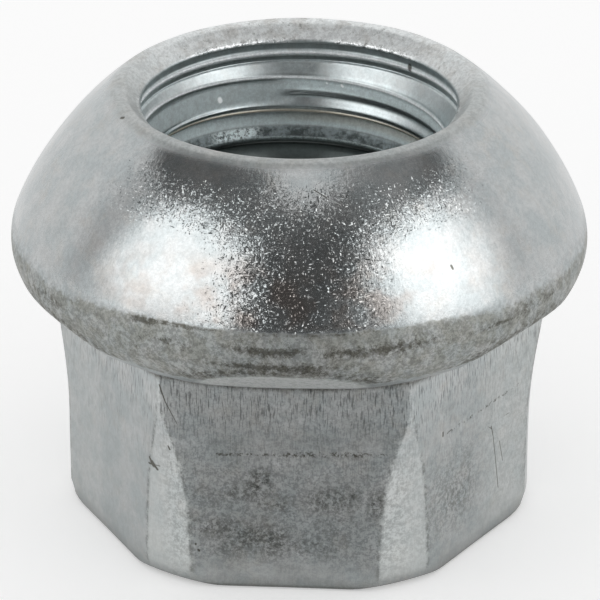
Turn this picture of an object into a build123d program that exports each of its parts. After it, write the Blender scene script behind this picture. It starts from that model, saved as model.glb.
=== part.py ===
"""Open-ended wheel lug nut with a ball seat: one piece of forged and plated steel.

The nut stands on its wrench end.  The origin is the centre of that face, and +Z
runs along the threaded bore towards the ball seat.  Sizes are in millimetres.
The bore is left at the thread's minor diameter.
"""
from build123d import *
from math import asin, cos, degrees, radians, sin, sqrt, tan
import os

# ---- Overall --------------------------------------------------------------
HEIGHT = 19.8                 # wrench end to the rim at the small end of the seat
ACROSS_FLATS = 19.0           # wrench size

# ---- Ball seat and its rolled edge ----------------------------------------
SEAT_RADIUS = 13.5            # sphere with its centre on the bore's axis
SEAT_REACH = 68.5             # degrees from the axis: there the rolled edge takes over
RIM_DIAMETER = 16.2           # where the sphere runs out into the end face
RIM_ROUNDING = 0.35           # softened outer edge of the rim
EDGE_RADIUS = 2.75            # rolled edge between the seat and the underside
UNDERSIDE_SLOPE = 18.0        # degrees: the underside rises towards its edge
FACET_SLOPE = 36.0            # degrees: above each flat a facet rises outwards
FACET_DEPTH = 0.35            # how far each facet bites into the rolled edge

# ---- Hexagon ---------------------------------------------------------------
FORGED_CORNER_RADIUS = 0.35   # softening of the hexagon's upright edges
BARREL_DIAMETER = 20.7        # the corners are turned down to this near the wrench end
BARREL_HEIGHT = 4.2           # above this the corners flare out to their full width
FLARE_RADIUS = 23.0           # hollow arc of that flare, seen from the side
END_FACE_DIAMETER = 19.9      # wrench-end face, inside the corner chamfer
CORNER_CHAMFER_HEIGHT = 0.5
END_EDGE_CHAMFER = 0.2        # broken edge between the flats and that face

# ---- Thread M14 x 1.5, cut right through ------------------------------------
THREAD_MAJOR = 14.0
THREAD_PITCH = 1.5
MINOR_DROP = 1.0825           # ISO metric: major less minor diameter, in pitches
MOUTH_DIAMETER = 15.3         # countersink at the seat end
HEEL_DIAMETER = 14.8          # countersink at the wrench end
COUNTERSINK_ANGLE = 45.0      # degrees from the axis, both ends

# ---- Values that follow -----------------------------------------------------
OVERSHOOT = 1.0               # how far the limiting shapes run past the turned one
bore_radius = (THREAD_MAJOR - MINOR_DROP * THREAD_PITCH) / 2
seat_centre_z = HEIGHT - sqrt(SEAT_RADIUS**2 - (RIM_DIAMETER / 2) ** 2)
edge_centre_r = (SEAT_RADIUS - EDGE_RADIUS) * sin(radians(SEAT_REACH))
edge_centre_z = seat_centre_z + (SEAT_RADIUS - EDGE_RADIUS) * cos(radians(SEAT_REACH))


def underside_z(radius):
    """Height of the flange's conical underside at a distance from the axis."""
    slope = radians(UNDERSIDE_SLOPE)
    tangent_r = edge_centre_r + EDGE_RADIUS * sin(slope)
    tangent_z = edge_centre_z - EDGE_RADIUS * cos(slope)
    return tangent_z - (tangent_r - radius) * tan(slope)


def facet_z(apothem):
    """Height of the facets' planes at a distance from the axis, over the flats' middle."""
    slope = radians(FACET_SLOPE)
    edge_outside = edge_centre_r * sin(slope) - edge_centre_z * cos(slope) + EDGE_RADIUS
    return (apothem * sin(slope) - edge_outside + FACET_DEPTH) / cos(slope)


def countersink_depth(mouth_diameter):
    """How deep a countersink goes before it reaches the bore's wall."""
    return (mouth_diameter / 2 - bore_radius) / tan(radians(COUNTERSINK_ANGLE))


def turned_nut():
    """The nut as a turning: barrel, hollow flare, rolled edge, ball seat and bore."""
    barrel_r = BARREL_DIAMETER / 2
    rim_from_axis = degrees(asin(RIM_DIAMETER / 2 / SEAT_RADIUS))

    # The flare's arc is tangent to the barrel and stops on the underside's cone.
    slope = radians(UNDERSIDE_SLOPE)
    flare_centre_r = barrel_r + FLARE_RADIUS
    drop = (underside_z(flare_centre_r) - BARREL_HEIGHT) * cos(slope)
    flare_turn = degrees(asin(drop / FLARE_RADIUS)) - UNDERSIDE_SLOPE

    with BuildPart() as part:
        with BuildSketch(Plane.XZ) as section:
            with BuildLine():
                flare = CenterArc(
                    (flare_centre_r, BARREL_HEIGHT), FLARE_RADIUS, 180, -flare_turn
                )
                edge = CenterArc(
                    (edge_centre_r, edge_centre_z),
                    EDGE_RADIUS,
                    UNDERSIDE_SLOPE - 90,
                    180 - UNDERSIDE_SLOPE - SEAT_REACH,
                )
                Line(flare @ 1, edge @ 0)
                seat = CenterArc(
                    (0, seat_centre_z),
                    SEAT_RADIUS,
                    90 - SEAT_REACH,
                    SEAT_REACH - rim_from_axis,
                )
                Polyline(
                    seat @ 1,
                    (MOUTH_DIAMETER / 2, HEIGHT),
                    (bore_radius, HEIGHT - countersink_depth(MOUTH_DIAMETER)),
                    (bore_radius, countersink_depth(HEEL_DIAMETER)),
                    (HEEL_DIAMETER / 2, 0),
                    (END_FACE_DIAMETER / 2, 0),
                    (barrel_r, CORNER_CHAMFER_HEIGHT),
                    flare @ 0,
                )
            make_face()
            rim = section.vertices().sort_by_distance((RIM_DIAMETER / 2, HEIGHT))[0]
            fillet(rim, RIM_ROUNDING)
        revolve(axis=Axis.Z)
    return part.part


def flange_limit():
    """All above the underside's cone and inside the six facets under the rolled edge."""
    outside = edge_centre_r + EDGE_RADIUS + OVERSHOOT
    above = HEIGHT + OVERSHOOT
    with BuildPart() as part:
        with BuildSketch(Plane.XZ):
            with BuildLine():
                Polyline(
                    (0, underside_z(0)),
                    (outside, underside_z(outside)),
                    (outside, above),
                    (0, above),
                    close=True,
                )
            make_face()
        revolve(axis=Axis.Z)
        base_z = facet_z(bore_radius)
        with BuildSketch(Plane.XY.offset(base_z)) as base:
            RegularPolygon(bore_radius, 6, major_radius=False)
        extrude(base.sketch, above - base_z, taper=FACET_SLOPE - 90, mode=Mode.INTERSECT)
    return part.part


def hexagon():
    """Wrench hexagon with a flat towards -Y, reaching into the flange above it."""
    with BuildPart() as part:
        with BuildSketch() as outline:
            RegularPolygon(ACROSS_FLATS / 2, 6, major_radius=False)
            fillet(outline.vertices(), FORGED_CORNER_RADIUS)
        extrude(amount=underside_z(ACROSS_FLATS / 2) + OVERSHOOT)
        chamfer(part.faces().sort_by(Axis.Z)[0].edges(), END_EDGE_CHAMFER)
    return part.part


os.makedirs("parts", exist_ok=True)
lug_nut = turned_nut() & (flange_limit() + hexagon())
lug_nut.label = "lug_nut"
export_step(lug_nut, "parts/lug_nut.step")
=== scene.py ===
"""Wheel nut with a ball seat: the dressed model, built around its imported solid.

The whole nut is one closed surface worked out with numpy. Columns run round the axis and rows run
along the section: heel, end face, hexagon, neck, rolled edge, ball seat, rim, mouth and the thread,
whose rows climb with the helix. Lengths are in millimetres until a mesh is made, and then in metres.
"""

import math

import bpy
import numpy as np
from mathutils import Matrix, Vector


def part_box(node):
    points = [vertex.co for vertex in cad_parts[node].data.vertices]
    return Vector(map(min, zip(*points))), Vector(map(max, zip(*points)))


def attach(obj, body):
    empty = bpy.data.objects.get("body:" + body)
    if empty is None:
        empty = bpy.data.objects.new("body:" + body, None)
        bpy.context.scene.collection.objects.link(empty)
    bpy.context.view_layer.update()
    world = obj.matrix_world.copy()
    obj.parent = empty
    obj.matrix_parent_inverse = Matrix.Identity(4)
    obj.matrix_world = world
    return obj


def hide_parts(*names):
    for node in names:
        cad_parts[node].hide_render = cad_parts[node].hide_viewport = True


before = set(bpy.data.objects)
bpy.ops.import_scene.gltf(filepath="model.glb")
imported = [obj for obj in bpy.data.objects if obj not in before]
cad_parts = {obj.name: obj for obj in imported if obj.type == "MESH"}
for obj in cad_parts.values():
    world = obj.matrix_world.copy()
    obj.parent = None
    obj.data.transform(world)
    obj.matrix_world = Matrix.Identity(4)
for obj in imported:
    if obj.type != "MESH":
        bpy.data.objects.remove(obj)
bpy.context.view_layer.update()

MM = 0.001
PIECE = "plated_nut"
NODE = "lug_nut"

# Sizes of the nut, the same as those of its solid.
LOW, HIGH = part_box(NODE)
HEIGHT = (HIGH.z - LOW.z) / MM
FLANGE_RADIUS = (HIGH.x - LOW.x) / 2 / MM
FLAT = 9.5
SEAT_RADIUS = 13.5
SEAT_CENTRE = 9.0
EDGE_RADIUS = 2.75
UNDERSIDE_SLOPE = math.radians(18)
FACET_SLOPE = math.radians(36)
FACET_DEPTH = 0.35
BARREL_RADIUS = 10.35
BARREL_HEIGHT = 4.2
FLARE_RADIUS = 23.0
END_FACE_RADIUS = 9.95
CORNER_CHAMFER_HEIGHT = 0.5
MOUTH_RADIUS = 7.65
HEEL_RADIUS = 7.4

# Roundings of its edges, softer than the solid's, and a first guess at the neck's height.
RIM_ROUNDING = 0.42
END_EDGE_ROUNDING = 0.28
NECK_FILLET = 0.34
NECK_GUESS = 10.0
CORNER_ROUNDING = 0.22
BARREL_ROUNDING = 0.10
CHAMFER_ROUNDING = 0.12
FACET_ROUNDING = 0.06

# The thread: pitch, crest radius, and half a crest's length as a share of the pitch. The depth and the
# place of the root, in pitches above the crest, are those of the full grooves and of the topmost one,
# which begins between two levels. The split along the crests' middles begins between two more.
PITCH = 1.5
CREST_RADIUS = 6.50
CREST_HALF = 0.10
FULL_DEPTH = 0.42
FULL_ROOT = 0.80
TOP_DEPTH = 0.25
TOP_ROOT = 0.40
TOP_CREST_FOOT = 0.60
TOP_LEVEL = (16.2, 16.4)
GROOVE_POWER = 1.7
GROOVE_ROUNDING = 0.12
CREST_ROUNDING = 0.04
SPLIT_LEVEL = (15.0, 15.3)
SPLIT_WIDTH = 0.05
SPLIT_DEPTH = 0.045
THREAD_TOP = HEIGHT - 1.75
THREAD_FOOT = 0.35
CREST_PHASE = 55
FINE_FOOT = 13.8

# A countersink leads into the thread from the recess, down to a tapered land with a bead along it. Where
# the topmost groove runs out, the groove loses a share of its depth and the land reaches further down.
LEAD_RADIUS = 7.08
LEAD_SLOPE = math.tan(math.radians(28.6))
LAND_LEVEL = 17.52
LAND_FOOT = 16.87
LAND_TAPER = 0.18
LAND_ROUNDING = 0.06
LAND_SINK = 0.08
BEAD_PLACE = 0.94
BEAD_LEVEL = 17.39
BEAD_WIDTH = 0.055
BEAD_HEIGHT = 0.045
RUN_OUT_SHARE = 0.6
RUN_OUT_DROP = 0.6

# The mouth: how deep its 45 degree cone goes and how ragged it ends, and the turned recess under it with
# one low ridge round it.
CONE_DEPTH = 0.74
CONE_RAGGED = 0.03
MOUTH_ROUNDING = 0.18
RECESS_RADIUS = 7.17
RIDGE_HEIGHT = 18.47
RIDGE_WIDTH = 0.10
RIDGE_DEPTH = 0.085
STEP_HEIGHT = 0.06
CONE_FOOT = HEIGHT - CONE_DEPTH
CONE_FOOT_HEIGHT = 0.14

# How many rows each stretch of the outside has. The recess's own stretches, closer over the ridge, are
# each given by the height where they start and by their number of rows.
ROWS = {
    "heel": 3, "face": 5, "end_edge": 5, "side": 19, "neck": 5, "edge": 37, "seat": 37,
    "rim_rounding": 5, "rim": 3, "mouth_rounding": 4, "mouth": 5,
}
RECESS_ROWS = [(CONE_FOOT, 5), (18.90, 3), (18.72, 16), (18.32, 3), (18.13, 4), (THREAD_TOP, 1)]

# The mesh grid. Half a sector's columns lie on the flat, then close together, then on the corner.
SIDES = 6
COLUMNS = 336
HALF_SECTOR = COLUMNS // SIDES // 2
HALF_ANGLE = math.pi / SIDES
FLAT_SHARE = 15 / HALF_SECTOR
CROWD_SHARE = 22 / HALF_SECTOR
CROWD = math.radians(1.3)
CROWD_MARGIN = math.radians(0.35)
CROWDED_BELOW = 11

# The bore's rows in one pitch, by how many columns along the climb each of them starts: close in the
# turns that show, and further apart below them.
FINE_ROWS = [
    0, 11, 22, 30, 36, 48, 66, 90, 116, 138, 150,
    168, 186, 204, 236, 262, 276, 290, 300, 308, 316, 325,
]
COARSE_ROWS = [0, 47, 66, 120, 190, 240, 285]


def smooth_min(a, b, width):
    """The lesser of a and b, rounded by a quadratic where they are within width of each other."""
    near = np.maximum(width - np.abs(a - b), 0) / width
    return np.minimum(a, b) - near**2 * width / 4


def smooth_max(a, b, width):
    """The greater of a and b, rounded in the same way."""
    return -smooth_min(-a, -b, width)


def soft_step(x, low, high):
    """0 below low and 1 above high, with a smooth cubic between them."""
    t = np.clip((x - low) / (high - low), 0, 1)
    return t * t * (3 - 2 * t)


def window(x, rise, fall):
    """1 between two soft edges, each given by where it starts and where it ends."""
    return soft_step(x, *rise) * (1 - soft_step(x, *fall))


def edge_centre():
    """Centre of the rolled edge's arc, which lies inside the seat's sphere at the flange's reach."""
    radius = FLANGE_RADIUS - EDGE_RADIUS
    height = SEAT_CENTRE + math.sqrt((SEAT_RADIUS - EDGE_RADIUS) ** 2 - radius**2)
    return radius, height


EDGE_R, EDGE_Z = edge_centre()
SEAT_END = math.atan2(EDGE_R, EDGE_Z - SEAT_CENTRE)
CONE_END_R = EDGE_R + EDGE_RADIUS * math.sin(UNDERSIDE_SLOPE)
CONE_END_Z = EDGE_Z - EDGE_RADIUS * math.cos(UNDERSIDE_SLOPE)
CONE_LENGTH = (CONE_END_R - FLAT) / math.cos(UNDERSIDE_SLOPE)
FACET_REACH = EDGE_R * math.sin(FACET_SLOPE) - EDGE_Z * math.cos(FACET_SLOPE) + EDGE_RADIUS - FACET_DEPTH
RIM_Z = HEIGHT - RIM_ROUNDING
RIM_R = math.sqrt((SEAT_RADIUS - RIM_ROUNDING) ** 2 - (RIM_Z - SEAT_CENTRE) ** 2)
RIM_TURN = math.atan2(RIM_R, RIM_Z - SEAT_CENTRE)


def by_corner(values):
    """A value for each column from those of the six corners, the first of them at 0 degrees."""
    column = np.arange(COLUMNS)
    return np.array(values)[np.round(column / (2 * HALF_SECTOR)).astype(int) % SIDES]


def barrel_radius(z):
    """The barrel under the corners: upright at first, then flaring along an arc.

    The forging left each corner a little fuller above, or leaner below, than the next."""
    rise = np.maximum(z - BARREL_HEIGHT, 0)
    arc = BARREL_RADIUS + FLARE_RADIUS - np.sqrt(FLARE_RADIUS**2 - rise**2)
    swell_above = by_corner([0.04, 0.18, 0.10, 0.02, 0.16, 0.18]) * soft_step(z, 1.0, 7.8)
    lean_below = by_corner([0.02, 0.0, 0.03, 0.0, 0.0, 0.02]) * (1 - soft_step(z, 6.5, 9.5))
    return arc + swell_above * (1 - soft_step(z, 8.2, 10.2)) - lean_below


def side_angle(share, z):
    """Angle from the middle of a flat at a share of the half sector. Columns crowd at the corners' edges."""
    meet = np.arccos(np.minimum(FLAT / barrel_radius(z), 1))
    end = np.minimum(meet + CROWD, HALF_ANGLE - CROWD_MARGIN)
    start = end - 2 * CROWD
    t = np.abs(share)
    on_flat = start * t / FLAT_SHARE
    at_edge = start + (end - start) * (t - FLAT_SHARE) / (CROWD_SHARE - FLAT_SHARE)
    on_corner = end + (HALF_ANGLE - end) * (t - CROWD_SHARE) / (1 - CROWD_SHARE)
    angle = np.where(t < FLAT_SHARE, on_flat, np.where(t < CROWD_SHARE, at_edge, on_corner))
    return np.sign(share) * angle


def side_radius(angle, z):
    """The hexagon's radius with rounded corners, cut by the barrel and by the end chamfer."""
    here = FLAT / np.cos(angle)
    beyond = FLAT / np.cos(2 * HALF_ANGLE - np.abs(angle))
    hexagon = smooth_min(here, beyond, CORNER_ROUNDING)
    radius = smooth_min(hexagon, barrel_radius(z), BARREL_ROUNDING)
    chamfer = END_FACE_RADIUS + (BARREL_RADIUS - END_FACE_RADIUS) * z / CORNER_CHAMFER_HEIGHT
    return smooth_min(radius, chamfer, CHAMFER_ROUNDING)


def underside_height(radius):
    """Height of the flange's underside: a shallow cone, then the rolled edge's arc."""
    cone = CONE_END_Z + (radius - CONE_END_R) * math.tan(UNDERSIDE_SLOPE)
    reach = np.clip(radius - EDGE_R, 0, EDGE_RADIUS)
    arc = EDGE_Z - np.sqrt(EDGE_RADIUS**2 - reach**2)
    return np.where(radius < CONE_END_R, cone, arc)


def flange_curve(length):
    """Points of the underside and the rolled edge at a length from where the cone passes the flats."""
    along = np.minimum(length, CONE_LENGTH) - CONE_LENGTH
    turn = np.maximum(length - CONE_LENGTH, 0) / EDGE_RADIUS - math.pi / 2 + UNDERSIDE_SLOPE
    arc_r = EDGE_R + EDGE_RADIUS * np.cos(turn)
    arc_z = EDGE_Z + EDGE_RADIUS * np.sin(turn)
    radius = np.where(length < CONE_LENGTH, CONE_END_R + along * math.cos(UNDERSIDE_SLOPE), arc_r)
    height = np.where(length < CONE_LENGTH, CONE_END_Z + along * math.sin(UNDERSIDE_SLOPE), arc_z)
    return radius, height


def flange_length(radius):
    """Length along the flange curve at which it reaches a radius on its way out."""
    turn = -np.arccos(np.clip((radius - EDGE_R) / EDGE_RADIUS, -1, 1))
    on_arc = CONE_LENGTH + (turn + math.pi / 2 - UNDERSIDE_SLOPE) * EDGE_RADIUS
    on_cone = (radius - FLAT) / math.cos(UNDERSIDE_SLOPE)
    return np.where(radius < CONE_END_R, on_cone, on_arc)


def shares(stretch):
    """Shares of the way along a stretch, one for each of its rows, from 0 up to the last before 1."""
    return np.linspace(0, 1, ROWS[stretch] + 1)[:-1, None]


def quadratic(t, start, bend, end):
    """A quadratic curve's value at a share t of its way from start to end, drawn towards bend."""
    return (1 - t) ** 2 * start + 2 * t * (1 - t) * bend + t**2 * end


def recess_radius(height):
    """Radius of the turned recess: its wall, the ridge, the cone's foot over it and the small step below."""
    ridge = np.exp(-(((height - RIDGE_HEIGHT) / RIDGE_WIDTH) ** 2))
    cone_foot = MOUTH_RADIUS - CONE_DEPTH
    wall = RECESS_RADIUS - RIDGE_DEPTH * ridge
    wall = cone_foot + (wall - cone_foot) * soft_step(CONE_FOOT - height, 0, CONE_FOOT_HEIGHT)
    step = soft_step(THREAD_TOP + STEP_HEIGHT - height, 0, STEP_HEIGHT)
    return wall - (RECESS_RADIUS - LEAD_RADIUS) * step


def row(share, radius, height, crowding):
    """Rows of radius, height and angle. Crowding, from 0 to 1, takes even columns to crowded ones."""
    crowded = side_angle(share, np.clip(height, 0, CROWDED_BELOW))
    angle = share * HALF_ANGLE * (1 - crowding) + crowded * crowding
    around = np.zeros_like(share)
    return radius + around, height + around, angle + around


def end_sections(share):
    """The heel's cone and the end face as straight rows, and the end edge's quarter round."""
    t = shares("heel")
    foot = HEEL_RADIUS - THREAD_FOOT
    heel = row(share, foot + (HEEL_RADIUS - foot) * t, THREAD_FOOT * (1 - t), 0 * t)
    flat = np.zeros_like(share)
    face_edge = side_radius(side_angle(share, flat), flat) - END_EDGE_ROUNDING
    t = shares("face")
    face = row(share, HEEL_RADIUS + (face_edge - HEEL_RADIUS) * t, 0 * t, t)
    turn = shares("end_edge") * math.pi / 2
    height = END_EDGE_ROUNDING * (1 - np.cos(turn))
    radius = side_radius(side_angle(share, height), height) - END_EDGE_ROUNDING * (1 - np.sin(turn))
    return [("heel", heel), ("face", face), ("end_edge", row(share, radius, height, 1))]


def neck_line(share):
    """Radius and height where the side meets the underside, closed in on from a first guess."""
    height = np.full_like(share, NECK_GUESS)
    for _ in range(2):
        radius = side_radius(side_angle(share, height), height)
        height = underside_height(radius)
    return radius, height


def side_sections(share, corner, neck):
    """The side up to the underside, and the neck's quadratic curve from the one to the other."""
    height = END_EDGE_ROUNDING + (neck - NECK_FILLET - END_EDGE_ROUNDING) * shares("side")
    side = row(share, side_radius(side_angle(share, height), height), height, 1)
    out_r, out_z = flange_curve(flange_length(corner) + NECK_FILLET)
    low_z = neck - NECK_FILLET
    low_r = side_radius(side_angle(share, low_z), low_z)
    t = shares("neck")
    angle = side_angle(share, neck) + 0 * t
    curve = (quadratic(t, low_r, corner, out_r), quadratic(t, low_z, neck, out_z), angle)
    return [("side", side), ("neck", curve)]


def flange_sections(share, corner, neck):
    """The flange curve, on which the columns spread out evenly again, and the seat's arc."""
    t = shares("edge")
    start = flange_length(corner) + NECK_FILLET
    end = CONE_LENGTH + EDGE_RADIUS * (math.pi / 2 - SEAT_END + math.pi / 2 - UNDERSIDE_SLOPE)
    radius, height = flange_curve(start + (end - start) * t)
    blend = 1 - soft_step(t, 0.1, 1)
    angle = side_angle(share, neck) * blend + share * HALF_ANGLE * (1 - blend)
    turn = SEAT_END + (RIM_TURN - SEAT_END) * shares("seat")
    seat = row(share, SEAT_RADIUS * np.sin(turn), SEAT_CENTRE + SEAT_RADIUS * np.cos(turn), 0)
    return [("edge", (radius, height, angle)), ("seat", seat)]


def mouth_sections(share):
    """The rim's rounding and flat, and the mouth's rounded edge and cone, which runs out ragged."""
    turn = RIM_TURN * (1 - shares("rim_rounding"))
    rounding = row(share, RIM_R + RIM_ROUNDING * np.sin(turn), RIM_Z + RIM_ROUNDING * np.cos(turn), 0)
    edge = MOUTH_RADIUS + MOUTH_ROUNDING
    t = shares("rim")
    flat = row(share, RIM_R + (edge - RIM_R) * t, HEIGHT + 0 * t, 0)
    t = shares("mouth_rounding")
    lower = MOUTH_ROUNDING * math.sqrt(0.5)
    radius = quadratic(t, edge, MOUTH_RADIUS, MOUTH_RADIUS - lower)
    bend = row(share, radius, quadratic(t, HEIGHT, HEIGHT, HEIGHT - lower), 0)
    t = shares("mouth")
    even = share * HALF_ANGLE
    ragged = CONE_RAGGED * np.sin(23 * even * 6 + 2 * np.sin(7 * even)) * t
    down = lower + (CONE_DEPTH - lower) * t
    cone = row(share, MOUTH_RADIUS - down, HEIGHT - down + ragged, 0)
    return [("rim", rounding), ("rim", flat), ("mouth", bend), ("mouth", cone)]


def recess_sections(share):
    """The recess, in straight stretches between the heights of its rows."""
    stretches = zip(RECESS_ROWS, RECESS_ROWS[1:])
    heights = [np.linspace(high, low, rows, endpoint=False) for (high, rows), (low, _) in stretches]
    height = np.append(np.concatenate(heights), THREAD_TOP)[:, None]
    return [("recess", row(share, recess_radius(height), height, 0))]


def outer_sections(share):
    """Every row of the outside from the thread's foot to its top, as a name, radius, height and angle."""
    corner, neck = neck_line(share)
    sections = end_sections(share) + side_sections(share, corner, neck)
    sections = sections + flange_sections(share, corner, neck)
    return sections + mouth_sections(share) + recess_sections(share)


def outer_surface():
    """The outside as an array of points, one row of the section after another, and each row's name.

    With them come each point's distances past the facet's plane and behind the flat's.

    A point is its radius and angle turned into the flat's own axes. Where the facets' plane cuts the
    rolled edge, a point beyond the plane moves back to it along the plane's normal, and the crease is
    softened."""
    column = np.arange(COLUMNS)
    sector = column // (2 * HALF_SECTOR)
    share = (column % (2 * HALF_SECTOR) - HALF_SECTOR) / HALF_SECTOR
    middle = (2 * sector + 1) * HALF_ANGLE
    sections = outer_sections(share[None, :])
    names = np.concatenate([[name] * len(rows[0]) for name, rows in sections])
    radius, height, angle = (np.concatenate([rows[i] for name, rows in sections]) for i in range(3))
    ahead = radius * np.cos(angle)
    across = radius * np.sin(angle)
    beyond = ahead * math.sin(FACET_SLOPE) - height * math.cos(FACET_SLOPE) - FACET_REACH
    inset = FLAT - ahead
    on_flange = np.isin(names, ("edge", "seat"))[:, None]
    cut = np.where(on_flange, smooth_max(beyond, 0, FACET_ROUNDING), 0)
    ahead = ahead - math.sin(FACET_SLOPE) * cut
    height = height + math.cos(FACET_SLOPE) * cut
    x = ahead * np.cos(middle) - across * np.sin(middle)
    y = ahead * np.sin(middle) + across * np.cos(middle)
    return np.stack([x, y, height], -1), names, beyond, inset


def turn_from_back(angle):
    """Turns round the axis from the back, from -0.5 to 0.5, counted against the clock."""
    return (angle / (2 * math.pi) + 0.25) % 1 - 0.5


def left_share(turn):
    """1 on the left of the back, where the topmost groove runs out, and 0 on its right."""
    return soft_step(turn, 0.0, 0.05) * (1 - soft_step(turn, 0.3, 0.4))


def helix_rise(turn):
    """How far the helix has climbed since the back. It returns to nothing where the turns meet in front."""
    return PITCH * turn * (1 - soft_step(np.abs(turn), 0.35, 0.5))


def thread_radius(phase, height, turn):
    """Radius of the bore: crests with grooves between them, cut by the countersinks at both ends.

    A groove is a funnel from its root down to the crest below, a power of the share of its height, and
    goes back under the crest above in a short step. The topmost groove is shallower. The crests of a
    formed thread are split along their middles. Under the countersink the topmost crest is cut back to
    a tapered land, which sinks with the helix, with a bead along it."""
    above = phase % 1
    apart = np.minimum(above, 1 - above)
    level = height - helix_rise(turn)
    top = soft_step(level, *TOP_LEVEL)
    root = FULL_ROOT + (TOP_ROOT - FULL_ROOT) * top
    crest_foot = 1 - CREST_HALF + (TOP_CREST_FOOT - 1 + CREST_HALF) * top
    rise = (above - CREST_HALF) / (root - CREST_HALF)
    fall = (crest_foot - above) / (crest_foot - root)
    slack = np.maximum(smooth_min(1 - np.minimum(rise, fall), 1, GROOVE_ROUNDING), 0)
    depth = FULL_DEPTH + (TOP_DEPTH * (1 - RUN_OUT_SHARE * left_share(turn)) - FULL_DEPTH) * top
    split = SPLIT_DEPTH * np.exp(-((apart / SPLIT_WIDTH) ** 2)) * soft_step(level, *SPLIT_LEVEL)
    thread = CREST_RADIUS + depth * (1 - slack**GROOVE_POWER) + split
    sink = np.minimum(helix_rise(turn), LAND_SINK)
    land = LAND_LEVEL + sink
    cone = LEAD_RADIUS - (THREAD_TOP - smooth_max(height, land, LAND_ROUNDING)) * LEAD_SLOPE
    foot = LAND_FOOT + sink - RUN_OUT_DROP * left_share(turn)
    taper = LAND_TAPER * np.maximum(land - height, 0) + np.maximum(foot - height, 0)
    bead = BEAD_HEIGHT * np.exp(-(((above - BEAD_PLACE) / BEAD_WIDTH) ** 2))
    lead = cone - taper - bead * soft_step(THREAD_TOP - height, 0, 0.1)
    heel = HEEL_RADIUS - height
    return smooth_max(thread, np.maximum(lead, heel), CREST_ROUNDING)


def climb_of(height):
    """How far up the helix a height lies, in columns: one turn for each pitch above the thread's foot."""
    return round((height - THREAD_FOOT) / PITCH * COLUMNS)


def helix_rows(marks, low, high):
    """Rows that climb one pitch a turn, held between a lower and an upper circle, as numbers of points.

    A row's climb is its start plus the column. The turns are whole numbers of columns, so a row meets
    both circles at points that they have in common, and goes on as the row one turn above it."""
    turns = np.arange(-2, climb_of(HEIGHT) // COLUMNS + 2)
    steps = np.sort((turns[:, None] * COLUMNS + CREST_PHASE + np.array(marks)).ravel())
    column = np.arange(COLUMNS + 1)
    climb = np.clip(steps[:, None] + column, low, high)
    inside = (climb.max(1) > low) & (climb.min(1) < high)
    first, last = np.flatnonzero(inside)[[0, -1]]
    climb = climb[first - 1:last + 2]
    return climb * COLUMNS + column % COLUMNS


def bore_grids():
    """The bore's two grids, closer in the turns that show through the mouth, with a circle in common."""
    low, middle, high = climb_of(THREAD_FOOT), climb_of(FINE_FOOT), climb_of(THREAD_TOP)
    return [helix_rows(COARSE_ROWS, low, middle), helix_rows(FINE_ROWS, middle, high)]


def bore_points(key):
    """Points of the bore from their numbers. A crest passes where the phase is a whole number."""
    climb, column = key // COLUMNS, key % COLUMNS
    height = THREAD_FOOT + climb / COLUMNS * PITCH
    angle = column / COLUMNS * 2 * math.pi
    phase = (climb - column - CREST_PHASE) / COLUMNS % 1
    radius = thread_radius(phase, height, turn_from_back(angle))
    return np.stack([radius * np.cos(angle), radius * np.sin(angle), height], -1)


def swell(points):
    """Slow unevenness of the forging, from 0 to 1: a mean of five sine waves in fixed directions."""
    waves = np.array([
        (0.62, 0.35, 0.41, 0.3),
        (-0.48, 0.71, 0.29, 1.9),
        (0.21, -0.66, 0.83, 4.1),
        (1.21, 0.94, -0.52, 2.2),
        (-0.87, 1.13, 1.34, 5.3),
    ])
    total = np.sin(points @ waves[:, :3].T + waves[:, 3]).mean(-1)
    return 0.5 + 0.5 * total


def outward(surface):
    """Unit normals of a grid of points whose columns close round the axis."""
    along = np.gradient(surface, axis=0)
    across = np.roll(surface, -1, axis=1) - np.roll(surface, 1, axis=1)
    normal = np.cross(across, along)
    return normal / np.linalg.norm(normal, axis=-1, keepdims=True)


# How deep the forged skin's unevenness goes on each stretch of the section.
SKIN_DEPTH = {"side": 0.05, "neck": 0.05, "edge": 0.06, "seat": 0.07, "rim": 0.04, "end_edge": 0.03}


def forged(surface, names):
    """The surface let in along its normals by the swell, except on the turned and flat ends."""
    amount = np.array([SKIN_DEPTH.get(name, 0.0) for name in names])
    amount = np.convolve(np.pad(amount, 3, mode="edge"), np.ones(7) / 7, mode="valid")
    amount[[0, -1]] = 0
    lower = amount[:, None, None] * swell(surface)[..., None] * outward(surface)
    lower[..., 2] = np.where(surface[..., 2] > HEIGHT - 0.02, np.maximum(lower[..., 2], 0), lower[..., 2])
    moved = surface - lower
    moved[..., 2] = np.maximum(moved[..., 2], 0)
    return moved


def grid_faces(ids):
    """Quads between neighbouring points of a grid of vertex numbers. One side may have shrunk to a point."""
    a, b, c, d = ids[:-1, :-1], ids[:-1, 1:], ids[1:, 1:], ids[1:, :-1]
    return np.stack([a, b, c, d], -1).reshape(-1, 4)


def nut_mesh():
    """The closed surface: outside and bore share the circles at the thread's foot and top."""
    outside, names, beyond, inset = outer_surface()
    outside = forged(outside, names)
    rows = len(outside)
    outer_ids = np.arange(rows * COLUMNS).reshape(rows, COLUMNS)
    outer_ids = np.concatenate([outer_ids, outer_ids[:, :1]], 1)
    grids = bore_grids()
    key = np.unique(np.concatenate([grid.ravel() for grid in grids]))
    top = climb_of(THREAD_TOP) * COLUMNS
    foot = key < COLUMNS
    head = key >= top
    inner = ~(foot | head)
    numbers = np.empty(len(key), dtype=int)
    numbers[foot] = outer_ids[0, key[foot]]
    numbers[head] = outer_ids[-1, key[head] - top]
    numbers[inner] = rows * COLUMNS + np.arange(inner.sum())
    bore = bore_points(key[inner])
    points = np.concatenate([outside.reshape(-1, 3), bore])
    inside = [grid_faces(numbers[np.searchsorted(key, grid)])[:, ::-1] for grid in grids]
    return points, np.concatenate([grid_faces(outer_ids)] + inside), names, beyond, inset


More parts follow.
